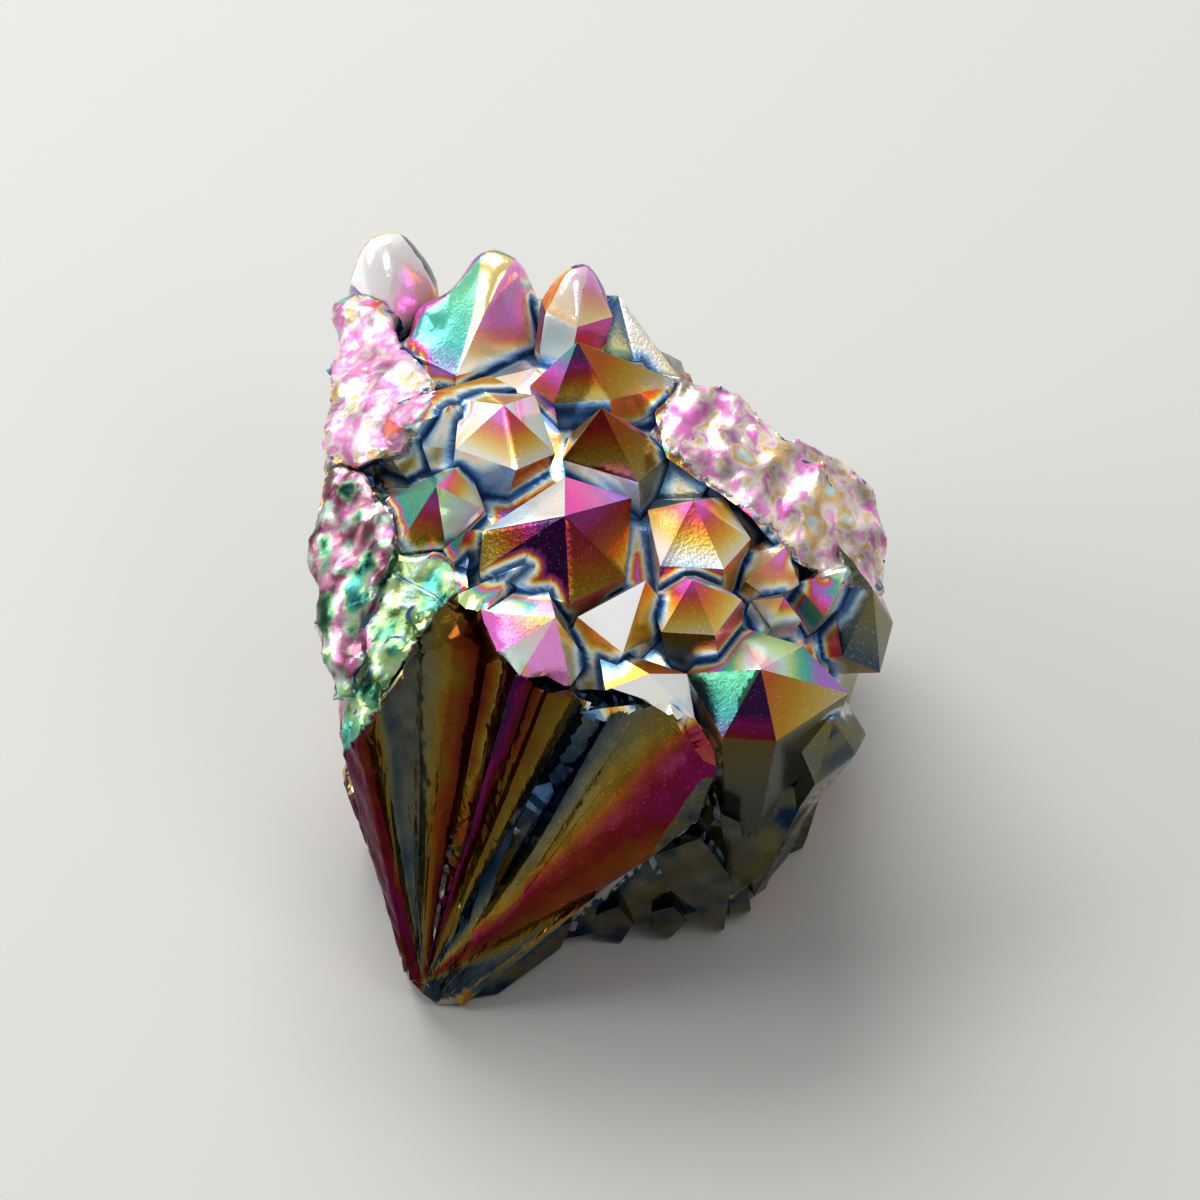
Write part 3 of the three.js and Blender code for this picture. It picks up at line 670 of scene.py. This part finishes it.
def drifting_film(places, size, salt, colours):
    """Film that drifts over patches about `size` mm wide, from the first named colour to the last."""
    level = layered_noise(places, size, salt, DRIFT_LAYERS)
    share = np.clip((level - 0.5) * DRIFT_CONTRAST + 0.5, 0.0, 1.0)
    stops = [film_place(name) for name in colours]
    return np.interp(share, np.linspace(0.0, 1.0, len(stops)), stops)


def film_layers(points, triangles, facets, painted, hollows):
    """Film and light at each triangle's corners, and the points' roughness and share in the front."""
    places = display_places(points)
    corners = places[triangles]
    pixels = picture_pixels(corners)
    middles = corners.mean(axis=1)
    facing = unit(triangle_normals(places, triangles))
    film, light = facet_film(corners, facets)
    is_shown = (facing[:, 2] > 0.0) & foremost(middles)
    zones = zone_masks(pixels, is_shown[:, None])
    over_walls = smooth_step(*WALL_TOP, points[triangles][..., 2] / MM)
    on_crown = over_walls * smooth_step(*BACK_EDGE, corners[..., 2])
    light -= WALL_SHADE * (1.0 - on_crown)

    for facet, ((x0, y0), first, (x1, y1), last, shine) in painted.items():
        chosen = facets == facet
        run = np.array([x1 - x0, y1 - y0], float)
        share = np.clip((pixels[chosen] - np.array([x0, y0])) @ run / (run @ run), 0.0, 1.0)
        film[chosen] = film_place(first) + (film_place(last) - film_place(first)) * share
        light[chosen] = shine + CROWN_GAIN * (shine > CROWN_GAIN)
    is_painted = np.isin(facets, list(painted))[:, None]

    distance = hollow_distances(points, hollows)[triangles]
    crown = ~(zones["front"] | zones["shoulder"] | zones["upper flank"] | zones["flank"] | zones["lower"])
    strength = crown * (WALL_VALLEYS + (1.0 - WALL_VALLEYS) * on_crown)
    # The hollows: a thinner film, painted shade on their floors and a painted highlight on the rims beside
    # them.
    film = film + (VALLEY_FILM - film) * strength * (1.0 - smooth_step(*VALLEY_WIDTH, distance))
    off_floor = smooth_step(*VALLEY_FLOOR, distance)
    rim = off_floor * (1.0 - smooth_step(*RIM_WIDTH, distance)) * crown * on_crown
    light = light + (np.maximum(RIM_LIGHT, light) - light) * rim
    light = light + (VALLEY_LIGHT * on_crown - light) * (1.0 - off_floor) * strength

    angle, along = tip_angles(pixels)
    fan = np.stack([angle / WANDER_DEGREES, along / WANDER_LENGTH, along * 0.0], axis=-1)
    wander = FRONT_WANDER * (layered_noise(fan, 1.0, SEEDS["wander"]) - 0.5)
    grain = layered_noise(corners, FRONT_GRAIN_PATCH, SEEDS["grain"]) - 0.5
    bands = np.array([row[0] for row in FRONT_BANDS], float)
    band_film = np.interp(angle + wander, bands, [film_place(row[1]) for row in FRONT_BANDS])
    band_light = np.interp(angle + wander, bands, [row[2] for row in FRONT_BANDS])
    front = zones["front"] & ~is_painted
    mottle = layered_noise(corners, MOTTLE_PATCH, SEEDS["mottle"]) - 0.5
    blush_end = smooth_step(*BLUSH_ALONG, along) * smooth_step(*BLUSH_ANGLE, angle) * FRONT_BLUSH
    film[front] = (band_film + blush_end + FRONT_MOTTLE * mottle + FRONT_FILM_GRAIN * grain)[front]
    light[front] = (band_light + FRONT_LIGHT_GRAIN * grain)[front]

    for name, (size, salt, shine, swing, colours) in DRIFTS.items():
        chosen = zones[name] & ~is_painted
        film[chosen] = drifting_film(corners[chosen], size, salt, colours)
        level = layered_noise(corners[chosen], SHINE_PATCH, salt + SHINE_SEED_STEP)
        light[chosen] = shine + swing * (level - 0.5) * 2.0

    rough_zone = zones["shoulder"] | zones["upper flank"] | zones["flank"] | zones["plate"]
    rough = np.zeros(len(points))
    rough[triangles[rough_zone & ~is_painted]] = 1.0
    in_front = np.zeros(len(points))
    in_front[triangles[front]] = 1.0
    return np.clip(film, 0.0, 1.0), light, rough, in_front


def rounded(points, triangles, weights, passes):
    """Points drawn towards their neighbours, by weights from 0 to 1."""
    for _ in range(passes):
        points = points + ROUNDING_STEP * weights[:, None] * (neighbour_means(points, triangles) - points)
    return points


def soft_zone(outline, points, triangles):
    """Weights of the points in an outline, fading over its border."""
    weights = inside(outline, picture_pixels(display_places(points))).astype(float)[:, None]
    for _ in range(BORDER_PASSES):
        weights = neighbour_means(weights, triangles)
    return weights[:, 0]


def relief(points, triangles, rough, in_front):
    """Rounds the tips at the back and the crusts' lumps, and raises lumps, columns, ribs and waves."""
    cap = soft_zone(WHITE_CAP, points, triangles)
    tips = soft_zone(BACK_TIPS, points, triangles)
    points = rounded(points, triangles, np.full(len(points), EDGE_SOFTENING), 1)
    points = rounded(points, triangles, rough, CRUST_ROUNDING)
    points = rounded(points, triangles, np.maximum(cap, tips), TIP_ROUNDING)
    swell = CAP_SWELL * cap + TIP_SWELL * tips
    places = display_places(points)
    angle, along = tip_angles(picture_pixels(places))
    fan = np.stack([angle * RIBS_PER_DEGREE, along / RIB_LENGTH, along * 0.0], axis=-1)
    lumps = (layered_noise(places, LUMP_WIDTH, SEEDS["lumps"]) - 0.5) * LUMP_HEIGHT * rough
    ribs = (layered_noise(fan, 1.0, SEEDS["ribs"]) - 0.5) * RIB_HEIGHT * in_front
    grains = (layered_noise(places, GRAIN_WIDTH, SEEDS["front grain"]) - 0.5) * GRAIN_HEIGHT * in_front
    ridge_angles, ridge_heights = np.array(FRONT_RIDGES).T
    ridges = np.interp(angle, ridge_angles, ridge_heights) * in_front * smooth_step(0.0, RIDGE_START, along)
    waves = (layered_noise(places, WAVE_WIDTH, SEEDS["waves"]) - 0.5) * WAVE_HEIGHT
    off_base = smooth_step(*FLAT_FOOT, points[:, 2] / MM)
    height = (lumps + ribs + ridges + grains + waves + swell) * off_base * MM
    return points + point_normals(points, triangles) * height[:, None]


def film_ramp(nodes, shade):
    """The film's colours by thickness: shade 0 is in shade, 1 in full light."""
    ramp = nodes.new("ShaderNodeValToRGB")
    stops = ramp.color_ramp.elements
    for name in FILM_NAMES[1:-1]:
        stops.new(film_place(name))
    for stop, name in zip(stops, FILM_NAMES):
        stop.position = film_place(name)
        stop.color = (*linear(FILM_COLOURS[name][shade]), 1.0)
    return ramp


def film_and_painted_light_material():
    """A mirror-like metal film whose colour follows its thickness and its painted light and shade, with
    painted glints, less metal where painted light is full, and fine grain.
    """
    material = bpy.data.materials.new("aura_coating")
    material.use_nodes = True
    nodes, links = material.node_tree.nodes, material.node_tree.links
    shader = nodes["Principled BSDF"]

    def attribute(name):
        node = nodes.new("ShaderNodeAttribute")
        node.attribute_name = name
        return node.outputs["Fac"]

    def maths(operation, first, second):
        node = nodes.new("ShaderNodeMath")
        node.operation = operation
        for socket, value in zip(node.inputs, (first, second)):
            if isinstance(value, (int, float)):
                socket.default_value = value
            else:
                links.new(value, socket)
        return node.outputs[0]

    coordinates = nodes.new("ShaderNodeTexCoord")

    def noise(size, detail):
        node = nodes.new("ShaderNodeTexNoise")
        node.inputs["Scale"].default_value = 1.0 / (size * MM)
        node.inputs["Detail"].default_value = detail
        links.new(coordinates.outputs["Object"], node.inputs["Vector"])
        return node.outputs["Fac"]

    grain = maths("SUBTRACT", noise(FILM_GRAIN_SIZE, 4.0), 0.5)
    film = maths("ADD", attribute("film"), maths("MULTIPLY", grain, FILM_GRAIN))
    in_shade, in_light = film_ramp(nodes, 0), film_ramp(nodes, 1)
    mix = nodes.new("ShaderNodeMix")
    mix.data_type = "RGBA"
    for ramp, socket in ((in_shade, MIX_FIRST), (in_light, MIX_SECOND)):
        links.new(film, ramp.inputs["Fac"])
        links.new(ramp.outputs["Color"], mix.inputs[socket])
    # Painted glints: small spots of added light
    painted_glints = maths("MULTIPLY", maths("GREATER_THAN", noise(PAINTED_GLINT_SIZE, 1.0), PAINTED_GLINT_LEVEL), PAINTED_GLINT)
    light = maths("ADD", attribute("light"), painted_glints)
    links.new(light, mix.inputs[MIX_FACTOR])
    # Painted shade dims the colour below light 0; a painted highlight whitens it above light 1
    dimmed = nodes.new("ShaderNodeVectorMath")
    dimmed.operation = "SCALE"
    links.new(mix.outputs[MIX_COLOUR], dimmed.inputs[0])
    brightness = maths("MINIMUM", maths("ADD", light, 1.0), 1.0)
    links.new(maths("MAXIMUM", brightness, DARKEST), dimmed.inputs["Scale"])
    whitened = nodes.new("ShaderNodeMix")
    whitened.data_type = "RGBA"
    links.new(maths("SUBTRACT", light, 1.0), whitened.inputs[MIX_FACTOR])
    links.new(dimmed.outputs[0], whitened.inputs[MIX_FIRST])
    whitened.inputs[MIX_SECOND].default_value = (1.0, 1.0, 1.0, 1.0)
    links.new(whitened.outputs[MIX_COLOUR], shader.inputs["Base Color"])
    lit = maths("MAXIMUM", maths("MINIMUM", light, 1.0), 0.0)
    metalness = maths("SUBTRACT", METALNESS, maths("MULTIPLY", lit, METALNESS_LOSS))
    links.new(metalness, shader.inputs["Metallic"])

    rough = attribute("rough")
    patches = maths("MULTIPLY", noise(ROUGHNESS_PATCH, 2.0), PATCH_ROUGHNESS)
    gloss = maths("ADD", maths("MULTIPLY", rough, CRUST_ROUGHNESS), patches)
    links.new(maths("ADD", gloss, FACE_ROUGHNESS), shader.inputs["Roughness"])

    bump = nodes.new("ShaderNodeBump")
    bump.inputs["Distance"].default_value = BUMP_HEIGHT * MM
    bump.inputs["Strength"].default_value = BUMP_STRENGTH
    links.new(noise(BUMP_SIZE, 3.0), bump.inputs["Height"])
    links.new(bump.outputs["Normal"], shader.inputs["Normal"])
    return material


def add_cluster():
    """The coated cluster, in place of its plain solid."""
    points, triangles, facets, painted, hollows = read_facets()
    points, triangles, facets = refine(points, triangles, facets)
    film, light, rough, in_front = film_layers(points, triangles, facets, painted, hollows)
    points = relief(points, triangles, rough, in_front)

    mesh = bpy.data.meshes.new("coated_cluster")
    mesh.from_pydata(points.tolist(), [], triangles.tolist())
    layers = (("film", "CORNER", film), ("light", "CORNER", light), ("rough", "POINT", rough))
    for name, domain, values in layers:
        layer = mesh.attributes.new(name, "FLOAT", domain)
        layer.data.foreach_set("value", values.ravel().astype(np.float32))
    mesh.polygons.foreach_set("use_smooth", np.ones(len(triangles), bool))
    mesh.set_sharp_from_angle(angle=SHARP_ANGLE)
    mesh.materials.append(film_and_painted_light_material())
    piece = bpy.data.objects.new("coated_cluster", mesh)
    bpy.context.scene.collection.objects.link(piece)
    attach(piece, "root")
    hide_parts(NODE)


def add_floor():
    """A plain pale floor."""
    bpy.ops.mesh.primitive_plane_add(size=FLOOR_SIDE)
    floor = bpy.context.object
    floor.name = "floor"
    material = bpy.data.materials.new("floor")
    material.use_nodes = True
    shader = material.node_tree.nodes["Principled BSDF"]
    shader.inputs["Base Color"].default_value = (*linear(FLOOR_COLOUR), 1.0)
    shader.inputs["Roughness"].default_value = FLOOR_ROUGHNESS
    floor.data.materials.append(material)


def add_light(name, place, size, power):
    """A square soft box at a place in mm, turned to the cluster."""
    lamp = bpy.data.lights.new(name, "AREA")
    lamp.size = size * MM
    lamp.energy = power
    holder = bpy.data.objects.new(name, lamp)
    holder.location = Vector(place) * MM
    holder.rotation_mode = "QUATERNION"
    holder.rotation_quaternion = (DISPLAY_ORIGIN - holder.location).to_track_quat("-Z", "Y")
    bpy.context.scene.collection.objects.link(holder)


def add_studio():
    """Soft boxes, a dim surround, and the camera at the photograph's angle."""
    add_floor()
    for name, row in SOFT_BOXES.items():
        add_light(name, *row)
    world = bpy.data.worlds.new("surround")
    world.use_nodes = True
    world.node_tree.nodes["Background"].inputs["Color"].default_value = (1.0, 1.0, 1.0, 1.0)
    world.node_tree.nodes["Background"].inputs["Strength"].default_value = SURROUND_LIGHT
    bpy.context.scene.world = world
    bpy.context.scene.view_settings.view_transform = "Standard"

    lens = bpy.data.cameras.new("camera")
    lens.lens = CAMERA_LENS
    lens.sensor_width = CAMERA_SENSOR
    camera = bpy.data.objects.new("camera", lens)
    picture_width = PICTURE_SIDE / PIXELS_PER_MM * MM
    camera.location = DISPLAY_ORIGIN + OUT * (picture_width * CAMERA_LENS / CAMERA_SENSOR)
    camera.rotation_mode = "QUATERNION"
    camera.rotation_quaternion = (-OUT).to_track_quat("-Z", "Y")
    bpy.context.scene.collection.objects.link(camera)
    bpy.context.scene.camera = camera


add_cluster()
add_studio()
